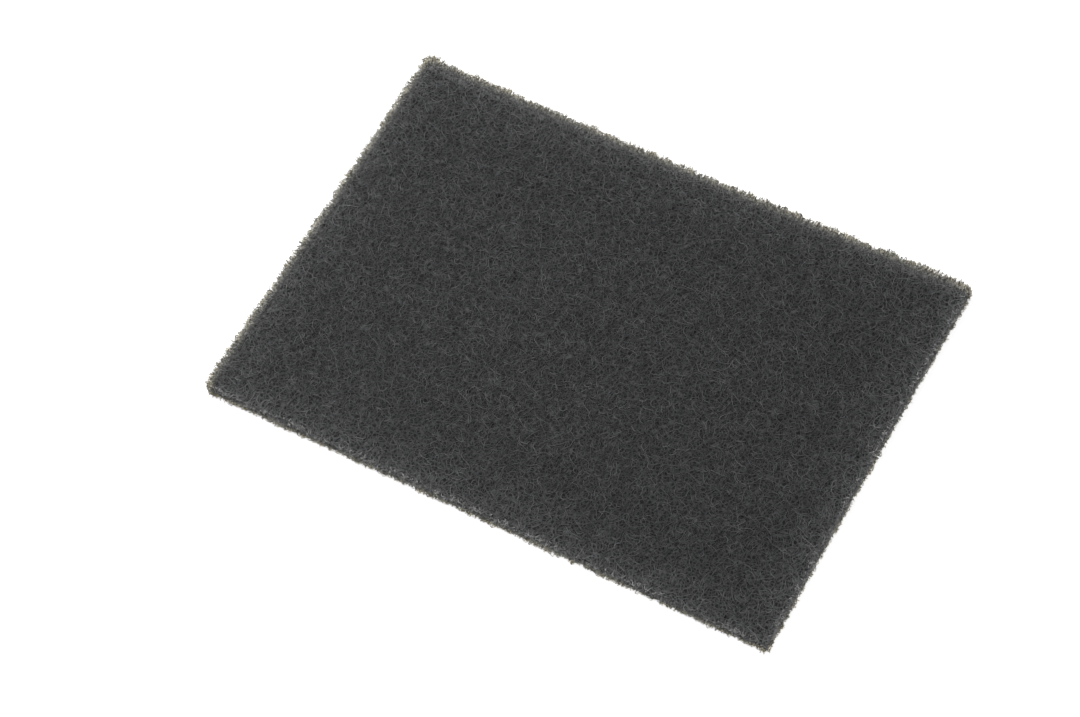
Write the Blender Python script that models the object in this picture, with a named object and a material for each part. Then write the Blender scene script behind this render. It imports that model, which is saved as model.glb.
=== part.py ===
"""Abrasive hand pad: a rectangle sheared from a roll of open non-woven web.

The pad is one piece. Crimped strands, bonded where they cross, rim small open hollows on both
faces, and here and there the binder has closed a hollow flat. The shear pinches the web along
its four cut edges, and the strands spring back there as a ragged wall.

Metres, +Z up, the origin under the middle of the pad on the surface that it lies on. The long
side runs along X.
"""

import math
import random

import bmesh
import bpy
from mathutils import Vector

# The sheared rectangle, over its furthest strands
PAD_LENGTH = 0.224
PAD_WIDTH = 0.158
PAD_THICKNESS = 0.006

# The open web of both faces
STRAND_PITCH = 0.0063  # from one crossing of strands to the next
STRAND_STRAY = 0.0024  # furthest that a crossing lies from its even place, each way
SAG_SHARE = 0.6  # of the crossings lie below the face
STRAND_SAG = 0.0005  # furthest that a crossing lies below the face
CLOSED_SHARE = 0.10  # of the hollows are closed flat by binder
HOLLOW_SHALLOW = 0.0006  # least depth of a hollow
HOLLOW_LEAN = 0.75  # how far towards a strand or a crossing a hollow's deepest spot may lie
WEB_CORE = 0.0014  # height of the middle of the web, which no hollow reaches

# The cut edges
EDGE_BAND = 0.0040  # width of the denser web beside a cut, where the hollows are shallow
EDGE_PINCH = 0.0003  # how far the shear draws each face in at the edge
EDGE_LEAN = 0.0002  # how far the edge of a face lies inside the middle of the wall
EDGE_RAG = 0.0004  # furthest that a strand end lies inside the cut
EDGE_PIT = 0.0009  # deepest pit between the strand ends in the wall

# How far each cut bows in at its middle
BOW_FAR = 0.0007
BOW_NEAR = 0.0001
BOW_LEFT = 0.0004
BOW_RIGHT = 0.0004

SEED = 7
WEB_GREY = (0.045, 0.046, 0.046, 1.0)


def clear_scene():
    for old in list(bpy.data.objects):
        bpy.data.objects.remove(old)


def web_finish():
    """Dark grey binder and mineral on nylon, dull and rough."""
    finish = bpy.data.materials.new("web")
    finish.use_nodes = True
    shader = finish.node_tree.nodes["Principled BSDF"]
    shader.inputs["Base Color"].default_value = WEB_GREY
    shader.inputs["Roughness"].default_value = 0.9
    shader.inputs["Metallic"].default_value = 0.0
    return finish


def divided_block():
    """A block of the pad's size, with its faces divided at the pitch and its walls in two rows."""
    web = bmesh.new()
    bmesh.ops.create_cube(web, size=1.0)
    bmesh.ops.translate(web, verts=web.verts, vec=(0.0, 0.0, 0.5))
    bmesh.ops.scale(web, verts=web.verts, vec=(PAD_LENGTH, PAD_WIDTH, PAD_THICKNESS))
    parts = (round(PAD_LENGTH / STRAND_PITCH), round(PAD_WIDTH / STRAND_PITCH), 2)
    for axis, count in enumerate(parts):
        along = [
            edge
            for edge in web.edges
            if abs(edge.verts[0].co[axis] - edge.verts[1].co[axis]) > PAD_THICKNESS / 2
        ]
        bmesh.ops.subdivide_edges(web, edges=along, cuts=count - 1, use_grid_fill=True)
    return web


def ways_out(crossing):
    """Which way the cuts that a crossing lies on face, as -1, 0 or 1 along X and along Y."""
    facing = {(round(face.normal.x), round(face.normal.y)) for face in crossing.link_faces}
    return sum(x for x, _ in facing), sum(y for _, y in facing)


def inside_cut(spot):
    """How far a spot lies inside its nearest cut."""
    return min(PAD_LENGTH / 2 - abs(spot.x), PAD_WIDTH / 2 - abs(spot.y))


def below_face(spot, depth):
    """Moves a spot of the top or the underside into the web."""
    spot.z += math.copysign(depth, PAD_THICKNESS / 2 - spot.z)


def lean_in_mesh(middle, chance):
    """Moves the middle of a mesh towards some of its corners, never out of the mesh."""
    pulls = [1.0 + HOLLOW_LEAN * chance.uniform(-1.0, 1.0) for _ in middle.link_edges]
    spot = Vector((0.0, 0.0, 0.0))
    for edge, pull in zip(middle.link_edges, pulls):
        spot += edge.other_vert(middle).co * pull
    middle.co = spot / sum(pulls)


def stray_crossings(crossings, chance):
    """Moves each crossing off its even place. One on a cut strays only along the cut."""
    for crossing, (out_x, out_y) in crossings.items():
        if not out_x:
            crossing.co.x += chance.uniform(-STRAND_STRAY, STRAND_STRAY)
        if not out_y:
            crossing.co.y += chance.uniform(-STRAND_STRAY, STRAND_STRAY)


def closed_meshes(meshes, chance):
    """The mesh nearest the middle of each face, and a share of the others taken by chance."""
    central = set()
    for side in (1, -1):
        facing = [face for face in meshes if face.normal.z * side > 0]
        central.add(min(facing, key=lambda face: face.calc_center_median().xy.length))
    others = [face for face in meshes if face not in central]
    return central.union(chance.sample(others, round(CLOSED_SHARE * len(others))))


def open_hollows(web, chance):
    """Sinks a hollow between the strands in all but the closed meshes of both faces."""
    squares = [face for face in web.faces if abs(face.normal.z) > 0.9]
    meshes = bmesh.ops.triangulate(web, faces=squares)["faces"]
    closed = closed_meshes(meshes, chance)
    opened = [face for face in meshes if face not in closed]
    held = {corner for face in closed for corner in face.verts}
    loose = [
        crossing
        for crossing in web.verts
        if crossing not in held and inside_cut(crossing.co) > STRAND_PITCH / 2
    ]
    for crossing in chance.sample(loose, round(SAG_SHARE * len(loose))):
        below_face(crossing.co, chance.uniform(0.0, STRAND_SAG))
    deepest = (PAD_THICKNESS - WEB_CORE) / 2
    for middle in bmesh.ops.poke(web, faces=opened)["verts"]:
        lean_in_mesh(middle, chance)
        depth = chance.uniform(HOLLOW_SHALLOW, deepest)
        if inside_cut(middle.co) < EDGE_BAND:
            depth = HOLLOW_SHALLOW
        below_face(middle.co, depth)


def shear_edges(web, crossings, chance):
    """Draws the faces in along the cuts and leaves the wall ragged."""
    walls = [face for face in web.faces if abs(face.normal.z) < 0.1]
    for crossing, (out_x, out_y) in crossings.items():
        if not (out_x or out_y):
            continue
        low = crossing.co.z < PAD_THICKNESS / 4
        high = crossing.co.z > PAD_THICKNESS * 3 / 4
        crossing.co.z += EDGE_PINCH * (low - high)
        draw = 0.0 if out_x and out_y else chance.uniform(0.0, EDGE_RAG)
        draw += EDGE_LEAN if low or high else 0.0
        bow_x = BOW_RIGHT if out_x > 0 else BOW_LEFT
        bow_y = BOW_FAR if out_y > 0 else BOW_NEAR
        bow_x *= math.cos(math.pi * crossing.co.y / PAD_WIDTH)
        bow_y *= math.cos(math.pi * crossing.co.x / PAD_LENGTH)
        crossing.co.x -= out_x * (draw + bow_x)
        crossing.co.y -= out_y * (draw + bow_y)
    for middle in bmesh.ops.poke(web, faces=walls)["verts"]:
        lean_in_mesh(middle, chance)
        inward = Vector((-middle.normal.x, -middle.normal.y, 0.0))
        middle.co += inward * chance.uniform(0.0, EDGE_PIT)


def make_pad():
    chance = random.Random(SEED)
    web = divided_block()
    web.normal_update()
    crossings = {crossing: ways_out(crossing) for crossing in web.verts}
    stray_crossings(crossings, chance)
    open_hollows(web, chance)
    web.normal_update()
    shear_edges(web, crossings, chance)
    bmesh.ops.triangulate(web, faces=web.faces)
    mesh = bpy.data.meshes.new("pad")
    web.to_mesh(mesh)
    web.free()
    mesh.materials.append(web_finish())
    return bpy.data.objects.new("pad", mesh)


clear_scene()
hand_pad = bpy.data.collections.new("hand_pad")
bpy.context.scene.collection.children.link(hand_pad)
hand_pad.objects.link(make_pad())
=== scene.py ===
import math

import bpy
import numpy as np
from mathutils import Matrix, Vector
from mathutils.bvhtree import BVHTree


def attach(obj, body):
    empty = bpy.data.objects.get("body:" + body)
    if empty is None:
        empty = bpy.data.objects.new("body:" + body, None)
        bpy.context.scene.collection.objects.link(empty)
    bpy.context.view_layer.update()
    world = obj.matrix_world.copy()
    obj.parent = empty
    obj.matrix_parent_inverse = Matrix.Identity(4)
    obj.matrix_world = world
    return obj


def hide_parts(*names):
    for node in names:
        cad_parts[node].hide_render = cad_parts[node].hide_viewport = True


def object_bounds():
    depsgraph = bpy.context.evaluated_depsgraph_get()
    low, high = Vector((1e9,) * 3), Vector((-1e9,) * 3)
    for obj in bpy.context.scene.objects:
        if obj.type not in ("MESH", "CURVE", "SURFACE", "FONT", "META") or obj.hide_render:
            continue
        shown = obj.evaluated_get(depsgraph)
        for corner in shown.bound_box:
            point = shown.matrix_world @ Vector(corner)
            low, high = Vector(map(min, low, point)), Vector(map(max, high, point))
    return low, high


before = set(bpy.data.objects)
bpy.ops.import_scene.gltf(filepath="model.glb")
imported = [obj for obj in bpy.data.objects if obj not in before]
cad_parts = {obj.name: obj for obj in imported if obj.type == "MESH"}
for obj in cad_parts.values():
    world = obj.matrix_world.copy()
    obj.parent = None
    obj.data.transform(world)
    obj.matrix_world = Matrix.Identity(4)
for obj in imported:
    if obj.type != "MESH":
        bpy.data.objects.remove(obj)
cad_low, cad_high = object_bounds()
thickness = cad_high.z

# Camera. A long lens looks down over the pad's near right corner, with the camera held a little
# askew and its middle on a spot just left of and nearer than the pad's own.
CAMERA_AZIMUTH = math.radians(35.64)
CAMERA_ELEVATION = math.radians(59.45)
CAMERA_ROLL = math.radians(-7.56)
CAMERA_REACH = 1.289
CAMERA_AIM = Vector((-0.01275, -0.01316, 0.0))
CAMERA_LENS = 120.6
CAMERA_SENSOR = 36.0

away = Vector(
    (
        math.sin(CAMERA_AZIMUTH) * math.cos(CAMERA_ELEVATION),
        -math.cos(CAMERA_AZIMUTH) * math.cos(CAMERA_ELEVATION),
        math.sin(CAMERA_ELEVATION),
    )
)
upright = away.to_track_quat("Z", "Y").to_matrix()
bpy.ops.object.camera_add()
camera = bpy.context.object
camera.data.lens = CAMERA_LENS
camera.data.sensor_width = CAMERA_SENSOR
camera.matrix_world = (
    Matrix.Translation(CAMERA_AIM + away * CAMERA_REACH)
    @ (upright @ Matrix.Rotation(CAMERA_ROLL, 3, "Z")).to_4x4()
)
bpy.context.scene.camera = camera

# Web core. The real pad's inner web: nylon strands needled into a felt and soaked in a resin full
# of dark grit. Its gaps are painted nearly black, the web's dark grey darkened as painted shade of
# its depths. It keeps the CAD pad's hollows and ragged cuts, a little inside them, with its facets
# relaxed and finer pores between the strands sunk into it.
MERGE_WITHIN = 1e-6
CORE_CUTS = 2  # of each edge of the CAD pad's facets
SMOOTH_FACTOR = 0.5
CORE_RELAX = 3  # rounds of smoothing every way
CORE_LEVEL = 9  # rounds of smoothing up and down alone
CORE_DRAW_IN = 0.0004
CORE_SWELL = 0.0004  # fills the walls out again
CORE_SHIFT = 0.0003  # away from the far and left cuts, which the shear left looser
PORE_PITCH = 0.0016
PORE_DEPTH = 0.0008
PORE_MIDDLE = 0.6  # the value of the pores' noise that moves nothing
CORE_ROUGHNESS = 0.8
WEB_SPECULAR = 0.3
# Painted shade: the gaps' colour is the web's dark grey darkened to near black, as the shade deep
# in the open web.
CORE_DARK_AND_SHADE = (0.006, 0.0060, 0.0062, 1.0)
CORE_THREAD = (0.077, 0.0782, 0.0802, 1.0)
# Painted light: paler copies of the core's colours for nearer the cuts.
EDGE_LIT_DARK = (0.010, 0.0101, 0.0104, 1.0)
EDGE_LIT_THREAD = (0.132, 0.134, 0.137, 1.0)
# Painted light: lighter copies of the core's colours at the rims, lifting the shade there.
RIM_LIT_DARK = (0.060, 0.0608, 0.0600, 1.0)
RIM_LIT_THREAD = (0.300, 0.303, 0.296, 1.0)
EDGE_LIT_REACH = 0.040  # how far from the cuts the web starts to be painted paler: painted light, brighter towards the edges
RIM_REACH = 0.0042  # how far from the cuts the web is painted lighter still: painted light that lifts the shade along its rim
RIM_LIT_FURTHER = 0.0010, 0.0018  # how much further that painted light reaches from the left and far cuts, into the shade inside their fringe
THREAD_BEND = 0.0006
BEND_NOISE = 700.0
THREAD_HALF = 0.00022
THREAD_BUMP = 0.0003
THREAD_NETS = 0.0013, 0.0022  # how far apart the threads of each upper layer cross
DEEP_NET = 0.0008  # the same for the layer deep in the gaps, dimmed as painted shade, that shows through in places
# How bright the deep layer is kept: painted shade of the web's depths.
DEEP_IN_SHADE_BRIGHT = 0.18
DEEP_NOISE = 330.0
DEEP_PATCHES = 4.0, 1.6  # multiply the noise and are taken from it, which leaves patches


class Flow:
    """A number, colour or vector on its way through a material's nodes."""

    def __init__(self, tree, socket=None):
        self.tree = tree
        self.socket = socket

    def node(self, kind, settings=None, sockets=None, out=0):
        """Adds a node, sets it up, fills or links its inputs, and gives what leaves one output."""
        made = self.tree.nodes.new(kind)
        for name, value in (settings or {}).items():
            setattr(made, name, value)
        for key, value in (sockets or {}).items():
            if isinstance(value, Flow):
                self.tree.links.new(value.socket, made.inputs[key])
            else:
                made.inputs[key].default_value = value
        return Flow(self.tree, made.outputs[out])

    def sum_of(self, operation, *values):
        return self.node("ShaderNodeMath", {"operation": operation}, dict(enumerate(values)))

    def __add__(self, other):
        return self.sum_of("ADD", self, other)

    def __radd__(self, other):
        return self.sum_of("ADD", other, self)

    def __sub__(self, other):
        return self.sum_of("SUBTRACT", self, other)

    def __rsub__(self, other):
        return self.sum_of("SUBTRACT", other, self)

    def __mul__(self, other):
        return self.sum_of("MULTIPLY", self, other)

    def __rmul__(self, other):
        return self.sum_of("MULTIPLY", other, self)

    def __abs__(self):
        return self.sum_of("ABSOLUTE", self)

    def clamped(self):
        return self.node("ShaderNodeClamp", None, {"Value": self})

    def above(self, other):
        return self.sum_of("MAXIMUM", self, other)

    def blend(self, low, high):
        """The colour that lies this far from low to high."""
        mix = {"data_type": "RGBA"}
        return self.node("ShaderNodeMix", mix, {0: self, 6: low, 7: high}, out=2)


def new_finish(name, roughness):
    """A material, the flow that starts its nodes, and its shader's inputs."""
    finish = bpy.data.materials.new(name)
    finish.use_nodes = True
    shader = finish.node_tree.nodes["Principled BSDF"]
    shader.inputs["Roughness"].default_value = roughness
    shader.inputs["Specular IOR Level"].default_value = WEB_SPECULAR
    return finish, Flow(finish.node_tree), shader.inputs


def thread_net(start, place):
    """Bent threads that cross in layers, and finer ones deep in the gaps, dimmed as painted shade.
    """
    bends = start.node(
        "ShaderNodeTexNoise", None, {"Vector": place, "Scale": BEND_NOISE, "Detail": 1.0}, out=1
    )
    bent = start.node(
        "ShaderNodeVectorMath",
        {"operation": "MULTIPLY_ADD"},
        {0: bends, 1: Vector((1.0, 1.0, 1.0)) * THREAD_BEND, 2: place},
    )
    lines = []
    for mesh in (*THREAD_NETS, DEEP_NET):
        gap = start.node(
            "ShaderNodeTexVoronoi",
            {"feature": "DISTANCE_TO_EDGE"},
            {"Vector": bent, "Scale": 1 / mesh},
        )
        lines.append((1.0 - gap * (mesh / THREAD_HALF)).clamped())
    noise = {"Vector": place, "Scale": DEEP_NOISE, "Detail": 1.0}
    shown = start.node("ShaderNodeTexNoise", None, noise) * DEEP_PATCHES[0] - DEEP_PATCHES[1]
    deep = lines[2] * shown.clamped() * DEEP_IN_SHADE_BRIGHT
    return lines[0].above(lines[1]).above(deep)


def near_cut(start, place, reach, lit_further=(0.0, 0.0)):
    """How near the closest cut is: 0 from this far inside it, and 1 at it."""
    across = start.node("ShaderNodeSeparateXYZ", None, {"Vector": place}, out=0) - lit_further[0]
    along = start.node("ShaderNodeSeparateXYZ", None, {"Vector": place}, out=1) + lit_further[1]
    by_end = (abs(across) - (cad_high.x - reach)) * (1 / reach)
    by_side = (abs(along) - (cad_high.y - reach)) * (1 / reach)
    return by_end.above(by_side).clamped()


def lit_edge_colour(start, place, mix, whole, edge_lit, rim_lit):
    """Pairs of colours, mixed by one share: whole inside, and painted light nearer the cuts,
    lighter still at them.
    """
    near = near_cut(start, place, EDGE_LIT_REACH)
    rim = near_cut(start, place, RIM_REACH, RIM_LIT_FURTHER)
    inner = (near * near * near * near).blend(mix.blend(*whole), mix.blend(*edge_lit))
    return (rim * rim).blend(inner, mix.blend(*rim_lit))


core_finish, start, core_shader = new_finish("web_core", CORE_ROUGHNESS)
place = start.node("ShaderNodeTexCoord", out=3)
threads = thread_net(start, place)
colour = lit_edge_colour(
    start,
    place,
    threads,
    (CORE_DARK_AND_SHADE, CORE_THREAD),
    (EDGE_LIT_DARK, EDGE_LIT_THREAD),
    (RIM_LIT_DARK, RIM_LIT_THREAD),
)
raised = start.node(
    "ShaderNodeBump", None, {"Strength": 1.0, "Distance": THREAD_BUMP, "Height": threads}
)
core_finish.node_tree.links.new(colour.socket, core_shader["Base Color"])
core_finish.node_tree.links.new(raised.socket, core_shader["Normal"])

bpy.ops.object.select_all(action="DESELECT")
web_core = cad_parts["pad"].copy()
web_core.name = "web_core"
web_core.parent = None
web_core.data = web_core.data.copy()
bpy.context.collection.objects.link(web_core)
web_core.select_set(True)
bpy.context.view_layer.objects.active = web_core
bpy.ops.object.mode_set(mode="EDIT")
bpy.ops.mesh.select_all(action="SELECT")
bpy.ops.mesh.remove_doubles(threshold=MERGE_WITHIN)
bpy.ops.transform.resize(
    value=(1 + CORE_SWELL / cad_high.x, 1 + CORE_SWELL / cad_high.y, 1.0)
)
bpy.ops.transform.translate(value=(CORE_SHIFT, -CORE_SHIFT, 0.0))
bpy.ops.mesh.subdivide(number_cuts=CORE_CUTS)
bpy.ops.object.mode_set(mode="OBJECT")

relax = web_core.modifiers.new("relax", "SMOOTH")
relax.factor = SMOOTH_FACTOR
relax.iterations = CORE_RELAX
settle = web_core.modifiers.new("settle", "SMOOTH")
settle.use_x = False
settle.use_y = False
settle.factor = SMOOTH_FACTOR
settle.iterations = CORE_LEVEL
draw_in = web_core.modifiers.new("draw_in", "DISPLACE")
draw_in.mid_level = 0.0
draw_in.strength = -CORE_DRAW_IN
pores = web_core.modifiers.new("pores", "DISPLACE")
pores.texture = bpy.data.textures.new("pores", "CLOUDS")
pores.texture.noise_scale = PORE_PITCH
pores.texture.noise_depth = 1
pores.texture_coords = "LOCAL"
pores.mid_level = PORE_MIDDLE
pores.strength = PORE_DEPTH
for modifier in list(web_core.modifiers):
    bpy.ops.object.modifier_apply(modifier=modifier.name)
bpy.ops.object.shade_smooth()
web_core.data.materials.clear()
web_core.data.materials.append(core_finish)
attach(web_core, "root")
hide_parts("pad")

# Strands of the two faces. The real ones are crimped nylon, a fifth of a millimetre across in
# their coat of resin and grit, and they curl in and out of the web. Each is a bent three-sided
# tube whose ends dive into the core. They are swept along curves and then made meshes.
STRAND_RADIUS = 0.0001
STRAND_WIDTHS = 0.75, 1.25  # how wide strands are, as shares of the usual
STRAND_TAPER = 0.6
STRAND_STEP = 0.0011
STRAND_STEPS = 5
STEP_SPREAD = 0.8, 0.7  # the tightest strand's step as a share, and what the slackest's has more
CURL_TIGHT = 0.0012
CURL_SLACK = 0.0070
STRAND_RISE = 0.00030  # how far a strand's middle may stand clear of the core
STRAND_DIVE = 0.00045
STRAND_LEAN = 0.4  # how far along from its middle a strand may stand highest
STRAND_CRIMP = 0.00012
CRIMP_TURN = 0.5
RIM_TURN = 0.0010  # how far inside a cut the strands of a face start to bend round its rim
RIM_WRAP = 0.0030  # how far down the cut's wall the middle of such a strand may lie
STRAND_DULL = (0.041, 0.0414, 0.0424, 1.0)
STRAND_PALE = (0.212, 0.214, 0.219, 1.0)
# Painted light: paler copies of the strands' colours for nearer the cuts.
EDGE_LIT_DULL = (0.090, 0.091, 0.0924, 1.0)
EDGE_LIT_PALE = (0.333, 0.336, 0.342, 1.0)
# Painted light: lighter copies of the strands' colours at the rims, lifting the shade there.
RIM_LIT_DULL = (0.185, 0.187, 0.185, 1.0)
RIM_LIT_PALE = (0.405, 0.409, 0.401, 1.0)
STRAND_ROUGHNESS = 0.6
GRIT_NOISE = 4000.0
GRIT_BUMP = 0.6, 0.0001  # strength and height
PATCH_NOISE = 280.0
TONE_SHARES = 0.6, 0.8, 1.1  # of each strand's own tone, of grit and of patches
TONE_DARKER = 0.75
MAP_MARGIN = 0.01
EVEN_STEPS = np.array((0.7548776662, 0.5698402910))  # strews the strands evenly
TOP_STRANDS = 3850
UNDER_STRANDS = 3500
STRAND_SEED = 11


def strand_curls(chance, count, low, high, tight, slack, steps):
    """The points of many strands as they curl on a level sheet."""
    heading = chance.uniform(0.0, math.tau, (count, 1))
    ease = chance.uniform(0.0, 1.0, (count, 1))
    radius = tight * (slack / tight) ** ease
    hop = STRAND_STEP * (STEP_SPREAD[0] + STEP_SPREAD[1] * ease)
    turn = chance.choice((-1.0, 1.0), (count, 1)) * hop / radius
    crimp = chance.uniform(-CRIMP_TURN, CRIMP_TURN, (count, steps))
    angles = heading + np.cumsum(np.repeat(turn, steps, axis=1) + crimp, axis=1)
    hops = np.stack((np.cos(angles), np.sin(angles)), axis=2) * hop[:, :, None]
    points = np.concatenate((np.zeros((count, 1, 2)), np.cumsum(hops, axis=1)), axis=1)
    points -= points.mean(axis=1, keepdims=True)
    places = (np.arange(count)[:, None] * EVEN_STEPS + chance.uniform(0.0, 1.0, 2)) % 1.0
    return points + (low + places * np.subtract(high, low))[:, None, :]


def sweep_strands(name, points, thick):
    """One mesh of closed three-sided tubes along the strands' points, thinner at their ends."""
    bpy.ops.object.select_all(action="DESELECT")
    bpy.ops.mesh.primitive_circle_add(vertices=3, radius=STRAND_RADIUS)
    section = bpy.context.object
    bpy.ops.object.convert(target="CURVE")
    path = bpy.data.curves.new(name, "CURVE")
    path.dimensions = "3D"
    path.bevel_mode = "OBJECT"
    path.bevel_object = section
    path.use_fill_caps = True
    taper = np.ones(points.shape[1])
    taper[0] = taper[-1] = STRAND_TAPER
    for spots, width in zip(points, thick):
        spline = path.splines.new("POLY")
        spline.points.add(len(spots) - 1)
        spline.points.foreach_set("co", np.hstack((spots, np.ones((len(spots), 1)))).ravel())
        spline.points.foreach_set("radius", taper * width)
    strands = bpy.data.objects.new(name, path)
    bpy.context.collection.objects.link(strands)
    bpy.ops.object.select_all(action="DESELECT")
    strands.select_set(True)
    bpy.context.view_layer.objects.active = strands
    bpy.ops.object.convert(target="MESH")
    bpy.data.objects.remove(section)
    bpy.ops.object.mode_set(mode="EDIT")
    bpy.ops.mesh.select_all(action="SELECT")
    bpy.ops.mesh.remove_doubles(threshold=MERGE_WITHIN)
    bpy.ops.mesh.normals_make_consistent(inside=False)
    bpy.ops.object.mode_set(mode="OBJECT")
    bpy.ops.object.shade_smooth()
    return strands


def map_from_above(strands):
    """A map of the piece as seen from straight above, for its baked colours."""
    mesh = strands.data
    spots = np.empty(len(mesh.vertices) * 3)
    mesh.vertices.foreach_get("co", spots)
    flat = spots.reshape(-1, 3)[:, :2]
    flat = (flat - flat.min(axis=0)) / (flat.max(axis=0) - flat.min(axis=0)).max()
    corners = np.empty(len(mesh.loops), dtype=np.int32)
    mesh.loops.foreach_get("vertex_index", corners)
    above = mesh.uv_layers.new(name="OFBake")
    flat = MAP_MARGIN + (1.0 - 2 * MAP_MARGIN) * flat
    above.uv.foreach_set("vector", flat[corners].ravel())


strand_finish, start, strand_shader = new_finish("strands", STRAND_ROUGHNESS)
place = start.node("ShaderNodeTexCoord", out=3)
each = start.node("ShaderNodeNewGeometry", out=8)
noise = {"Vector": place, "Scale": GRIT_NOISE, "Detail": 1.0}
grit = start.node("ShaderNodeTexNoise", None, noise)
noise = {"Vector": place, "Scale": PATCH_NOISE, "Detail": 1.0}
patch = start.node("ShaderNodeTexNoise", None, noise)
tone = each * TONE_SHARES[0] + grit * TONE_SHARES[1] + patch * TONE_SHARES[2] - TONE_DARKER
tone = tone.clamped()
colour = lit_edge_colour(
    start,
    place,
    tone,
    (STRAND_DULL, STRAND_PALE),
    (EDGE_LIT_DULL, EDGE_LIT_PALE),
    (RIM_LIT_DULL, RIM_LIT_PALE),
)
raised = start.node(
    "ShaderNodeBump", None, {"Strength": GRIT_BUMP[0], "Distance": GRIT_BUMP[1], "Height": grit}
)
strand_finish.node_tree.links.new(colour.socket, strand_shader["Base Color"])
strand_finish.node_tree.links.new(raised.socket, strand_shader["Normal"])


core_skin = BVHTree.FromPolygons(
    [vertex.co for vertex in web_core.data.vertices],
    [face.vertices for face in web_core.data.polygons],
)


def drape(flat, on_top):
    """Where a level sheet would lie on the core, bent round its rim, and the ways out there."""
    spots = np.empty(flat.shape[:2] + (3,))
    ways = np.zeros_like(spots)
    face, up = (thickness, 1.0) if on_top else (0.0, -1.0)
    rim = np.array((cad_high.x, cad_high.y))
    for at in np.ndindex(flat.shape[:2]):
        over = (np.abs(flat[at]) - rim + RIM_TURN).max()
        met = None
        if over < 0:
            ray = Vector((*flat[at], face + up * thickness)), Vector((0.0, 0.0, -up))
            met = core_skin.ray_cast(*ray)[0]
            way = (0.0, 0.0, up)
        if met is None:
            hung = Vector((*np.clip(flat[at], -rim, rim), face - up * max(over, 0.0)))
            met, way = core_skin.find_nearest(hung)[:2]
        spots[at] = met
        ways[at] = way
    return spots, ways


def lay_strands(name, chance, count, low, high, on_top):
    """Strands over part of one face, arched so that their ends dive into the core."""
    flat = strand_curls(chance, count, low, high, CURL_TIGHT, CURL_SLACK, STRAND_STEPS)
    along = np.linspace(-1.0, 1.0, STRAND_STEPS + 1)
    rise = chance.uniform(0.0, 1.0, (count, 1)) * STRAND_RISE
    lean = chance.uniform(-STRAND_LEAN, STRAND_LEAN, (count, 1))
    rise = rise - STRAND_DIVE * np.abs(along - lean) ** 3
    rise = rise + chance.uniform(-1.0, 1.0, flat.shape[:2]) * STRAND_CRIMP
    spots, ways = drape(flat, on_top)
    points = spots + ways * rise[:, :, None]
    points[:, :, 2] = np.clip(points[:, :, 2], STRAND_RADIUS, thickness - STRAND_RADIUS)
    strands = sweep_strands(name, points, chance.uniform(*STRAND_WIDTHS, count))
    map_from_above(strands)
    strands.data.materials.append(strand_finish)
    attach(strands, "root")
    return strands


chance = np.random.default_rng(STRAND_SEED)
half_length = cad_high.x + RIM_WRAP
half_width = cad_high.y + RIM_WRAP
thirds = np.linspace(-half_length, half_length, 4)
for name, left, right in zip(("left", "middle", "right"), thirds[:-1], thirds[1:]):
    low, high = (left, -half_width), (right, half_width)
    lay_strands("top_strands_" + name, chance, TOP_STRANDS, low, high, on_top=True)
low, high = (-half_length, -half_width), (half_length, half_width)
lay_strands("under_strands", chance, UNDER_STRANDS, low, high, on_top=False)

# Strand ends of the cut edges. The shear leaves the outermost web as loose ends and cut loops
# through its whole thickness, worn thin at their tips, most of all along the far and left cuts.
# Their tips are painted pale cream, a painted glow of light through them, brighter still where the
# pad shades them. Each is a short bent tube that starts in the core and ends about where the cut
# runs.
END_STEPS = 3
END_WIDTHS = 1.1, 1.9
END_KINK = 0.00044
END_ASTRAY = 0.0019
END_CLIMB = 0.6  # how much of that is up or down as well
END_DIVE = 0.3  # the share of its way to the web's middle that a strand's root lies nearer to it
ROOT_SPREAD = 0.0008
LOOP_SHARE = 0.55
LOOP_HEIGHT = 0.87  # of the sine that bends a loop, where its outermost points lie
END_SPIKE = 0.0004  # how far the few that stand out of a tuft do so
SPIKE_POWER = 12
END_TUFTS = 0.0030, 0.0010  # how far apart the coarse and fine tufts stand along a cut
RIM_SPREAD = 0.12  # how far above or below its rim a cut's usual ends lie, as a share
WALL_SPREAD = 0.03, 0.97  # from where to where its other ends lie
END_MARGIN = 0.0002  # how far inside the web's faces they all stay
CORNER_WEAR = 0.0014
CORNER_REACH = 0.006  # how far from a corner its tips start to be painted paler than elsewhere
# Painted light: the corner tips' extra glow lifts the shade where the strands of two cuts cross.
CORNER_GLOW = 0.0020
END_ROUGHNESS = 0.6
END_MOTTLE = 0.00055
END_TONE = 0.4, 1.4, 0.4  # each strand's own share, the mottle's, and how much darker
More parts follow.
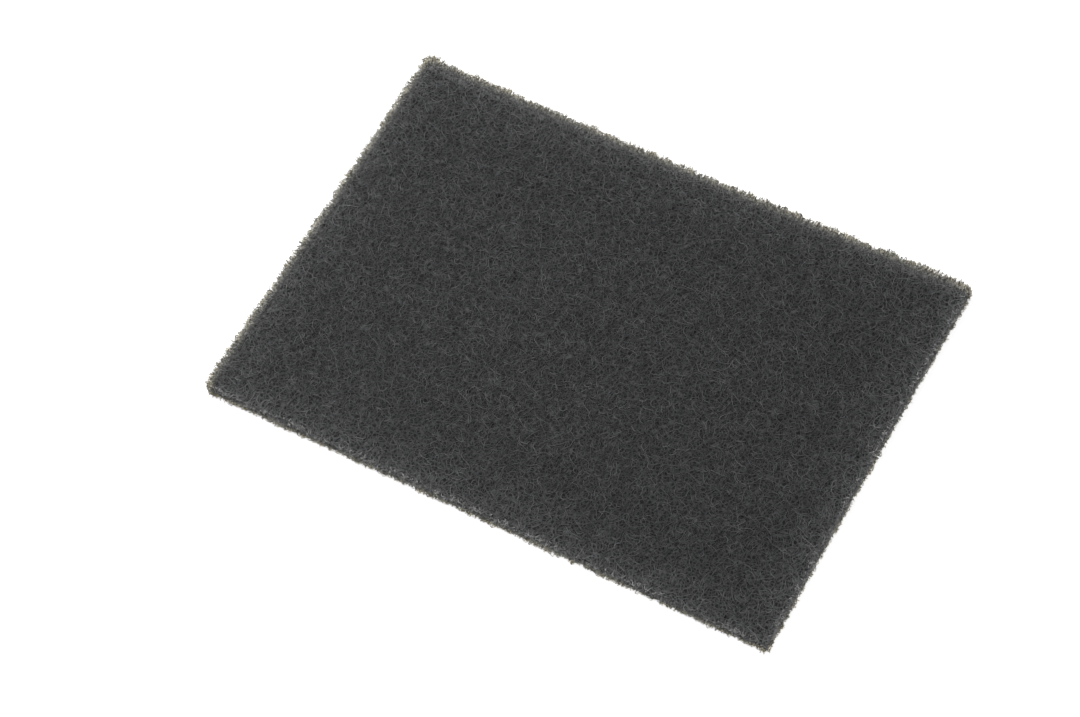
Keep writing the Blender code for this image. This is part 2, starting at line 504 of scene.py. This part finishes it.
# A clean and a loose kind of cut: the height where most ends lie and their share, how far off that
# height tips keep their whole painted glow and where it has gone, and the colours of the ends,
# inside the cut and at their tips. The tips' pale cream is painted light, a glow of light through
# them.
# The clean cut's colours are painted lighter than the loose cut's: painted light that lifts the
# shade on the near and right walls.
CLEAN = 0.13, 0.75, (0.0010, 0.0022), (
    ((0.228, 0.230, 0.226, 1.0), (0.510, 0.513, 0.500, 1.0)),
    ((0.145, 0.133, 0.100, 1.0), (0.870, 0.802, 0.608, 1.0)),
)
LOOSE = 0.86, 0.64, (0.0020, 0.0054), (
    ((0.143, 0.145, 0.143, 1.0), (0.315, 0.318, 0.312, 1.0)),
    ((0.145, 0.137, 0.112, 1.0), (0.880, 0.832, 0.680, 1.0)),
)
CUTS = (  # name, ends, bow in at the middle, how far beyond the cut and how deep inside it the ends lie, how they crowd inwards, how far coarse and fine tufts stand out, how far beyond the cut the tips start and have ended taking on their painted glow, and the kind of cut
    # ends lie, how they crowd inwards, how far coarse and fine tufts stand out, how far beyond the
    # cut the tips start and have ended turning pale, and the kind of cut
    ("near", 4900, 0.0, 0.00122, 0.0007, 0.43, (0.0005, 0.0009), (-0.0001, 0.0006), CLEAN),
    ("right", 3450, 0.00045, 0.00116, 0.0007, 0.43, (0.0001, 0.0004), (-0.0001, 0.0006), CLEAN),
    ("far", 6700, 0.0009, 0.00160, 0.0018, 0.92, (0.0010, 0.0010), (-0.0017, 0.0009), LOOSE),
    ("left", 4750, 0.00025, 0.00126, 0.0020, 0.86, (0.0006, 0.0007), (-0.0013, 0.0009), LOOSE),
)


def mark_tip_glow(ends, runs_by, bow, rim, band, none, full):
    """Marks each vertex with its painted glow: most of all beyond its bowed cut and near its rim.
    """
    mesh = ends.data
    spots = np.empty(len(mesh.vertices) * 3)
    mesh.vertices.foreach_get("co", spots)
    spots = spots.reshape(-1, 3)
    flat = np.abs(spots[:, :2])
    half = np.array((cad_high.x, cad_high.y))
    slant = np.hypot(*(flat - half + CORNER_WEAR).clip(0.0).T)
    beyond = np.where(slant > 0, slant - CORNER_WEAR, (flat - half).max(axis=1))
    beyond += np.cos(math.pi / 2 * (flat / half)[:, runs_by][:, 0].clip(0.0, 1.0)) * bow
    beyond += (flat - half + CORNER_REACH).clip(0.0).min(axis=1) * (CORNER_GLOW / CORNER_REACH)
    off = (np.abs(spots[:, 2] - rim) - band[0]) / (band[1] - band[0])
    tip_glow = ((beyond - none) / (full - none)).clip(0.0, 1.0) * (1.0 - off.clip(0.0, 1.0))
    mesh.attributes.new("tip_glow", "FLOAT", "POINT").data.foreach_set("value", tip_glow)


cut_corners = np.array(((-1, -1), (1, -1), (1, 1), (-1, 1))) * (cad_high.x, cad_high.y)
for side, (name, count, bow, beyond, within, crowd, stands, glow_span, kind) in enumerate(CUTS):
    rim_height, rim_share, band, (inner, glow_colours) = kind
    first = cut_corners[side]
    run = cut_corners[(side + 1) % 4] - first
    length = np.abs(run).sum()
    along = np.array((run[0], run[1], 0.0)) / length
    out = np.array((run[1], -run[0], 0.0)) / length
    share = ((np.arange(count) + chance.uniform(0.0, 1.0, count)) / count)[:, None]
    height = np.where(
        chance.uniform(0.0, 1.0, (count, 1)) < rim_share,
        rim_height + chance.uniform(-RIM_SPREAD, RIM_SPREAD, (count, 1)),
        chance.uniform(*WALL_SPREAD, (count, 1)),
    )
    height *= thickness
    spots = np.hstack((first + run * share, height)) - out * np.sin(math.pi * share) * bow
    reach = beyond - (beyond + within) * chance.uniform(0.0, 1.0, (count, 1)) ** crowd
    for tuft, stand in zip(END_TUFTS, stands):
        knots = chance.uniform(-0.5, 0.5, int(length / tuft) + 2)
        reach += np.interp(share * length / tuft, np.arange(len(knots)), knots) * stand
    reach += END_SPIKE * chance.uniform(0.0, 1.0, (count, 1)) ** SPIKE_POWER
    # A strand that sets off from within the core and ends at its reach, or loops back there.
    steps = np.linspace(0.0, 1.0, END_STEPS + 1)
    loops = chance.uniform(0.0, 1.0, (count, 1)) < LOOP_SHARE
    root = -within - chance.uniform(0.0, ROOT_SPREAD, (count, 1))
    bend = np.where(loops, np.sin(math.pi * steps) / LOOP_HEIGHT, steps)
    forth = root + (reach - root) * bend
    aside = chance.uniform(-1.0, 1.0, (count, 1)) * END_ASTRAY * steps
    climb = chance.uniform(-END_CLIMB, END_CLIMB, (count, 1)) * END_ASTRAY * (steps - 0.5)
    climb = climb - (height - thickness / 2) * END_DIVE * (1.0 - steps)
    points = spots[:, None, :] + chance.uniform(-1.0, 1.0, (count, len(steps), 3)) * END_KINK
    points += forth[:, :, None] * out + aside[:, :, None] * along
    points[:, :, 2] = np.clip(points[:, :, 2] + climb, END_MARGIN, thickness - END_MARGIN)
    # The web's corners are worn round.
    past = np.abs(points[:, :, :2]) - (cad_high.x - CORNER_WEAR, cad_high.y - CORNER_WEAR)
    past = past.clip(0.0)
    slant = np.hypot(past[:, :, 0], past[:, :, 1])
    pull = 1.0 - past.max(axis=2) / np.maximum(slant, 1e-9)
    points[:, :, :2] -= np.sign(points[:, :, :2]) * past * pull[:, :, None]
    ends = sweep_strands(name + "_strand_ends", points, chance.uniform(*END_WIDTHS, count))
    map_from_above(ends)
    mark_tip_glow(ends, np.abs(run) > 0, bow, rim_height * thickness, band, *glow_span)
    end_finish, start, end_shader = new_finish(name + "_strand_ends", END_ROUGHNESS)
    place = start.node("ShaderNodeTexCoord", out=3)
    each = start.node("ShaderNodeNewGeometry", out=8)
    mottle = start.node(
        "ShaderNodeTexVoronoi", None, {"Vector": place, "Scale": 1 / END_MOTTLE}, out=1
    )
    mottle = start.node("ShaderNodeSeparateXYZ", None, {"Vector": mottle}, out=0)
    tone = (each * END_TONE[0] + mottle * END_TONE[1] - END_TONE[2]).clamped()
    # Painted light: the tips' pale cream glow stands for light through the thin strands.
    tip_glow = start.node("ShaderNodeAttribute", {"attribute_name": "tip_glow"}, out=2)
    colour = tip_glow.blend(tone.blend(*inner), tone.blend(*glow_colours))
    end_finish.node_tree.links.new(colour.socket, end_shader["Base Color"])
    ends.data.materials.append(end_finish)
    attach(ends, "root")

# Floor and light. A plain white floor that reads as white to the camera and keeps the pad's soft
# shadow, a white sky, one large soft lamp high beyond the pad's left end, and a weaker one low in
# front of its right end.
FLOOR_SIDE = 6.0
FLOOR_WHITE = (0.85, 0.85, 0.85, 1.0)
FLOOR_SHINE = 0.68
SKY_WHITE = (1.0, 1.0, 1.0, 1.0)
SKY_STRENGTH = 0.42
LAMP_SIDE = 0.5
LAMPS = (  # where they stand, and their power
    ((-0.44, 0.08, 0.52), 3.4),
    ((0.68, -0.68, 0.40), 1.5),
)

bpy.ops.object.select_all(action="DESELECT")
bpy.ops.mesh.primitive_plane_add(size=FLOOR_SIDE, location=(0.0, 0.0, 0.0))
floor = bpy.context.object
floor.name = "floor"
floor_finish, start, floor_shader = new_finish("floor", roughness=1.0)
floor_shader["Base Color"].default_value = FLOOR_WHITE
floor_shader["Specular IOR Level"].default_value = 0.0
floor_shader["Emission Color"].default_value = SKY_WHITE
seen = start.node("ShaderNodeLightPath", out=0)
floor_finish.node_tree.links.new((seen * FLOOR_SHINE).socket, floor_shader["Emission Strength"])
floor.data.materials.append(floor_finish)

world = bpy.data.worlds.new("sky")
world.use_nodes = True
world.node_tree.nodes["Background"].inputs["Color"].default_value = SKY_WHITE
world.node_tree.nodes["Background"].inputs["Strength"].default_value = SKY_STRENGTH
bpy.context.scene.world = world
for spot, power in LAMPS:
    bpy.ops.object.light_add(type="AREA", location=spot)
    lamp = bpy.context.object
    lamp.data.energy = power
    lamp.data.size = LAMP_SIDE
    lamp.rotation_euler = Vector(spot).to_track_quat("Z", "Y").to_euler()
bpy.context.scene.view_settings.view_transform = "Standard"
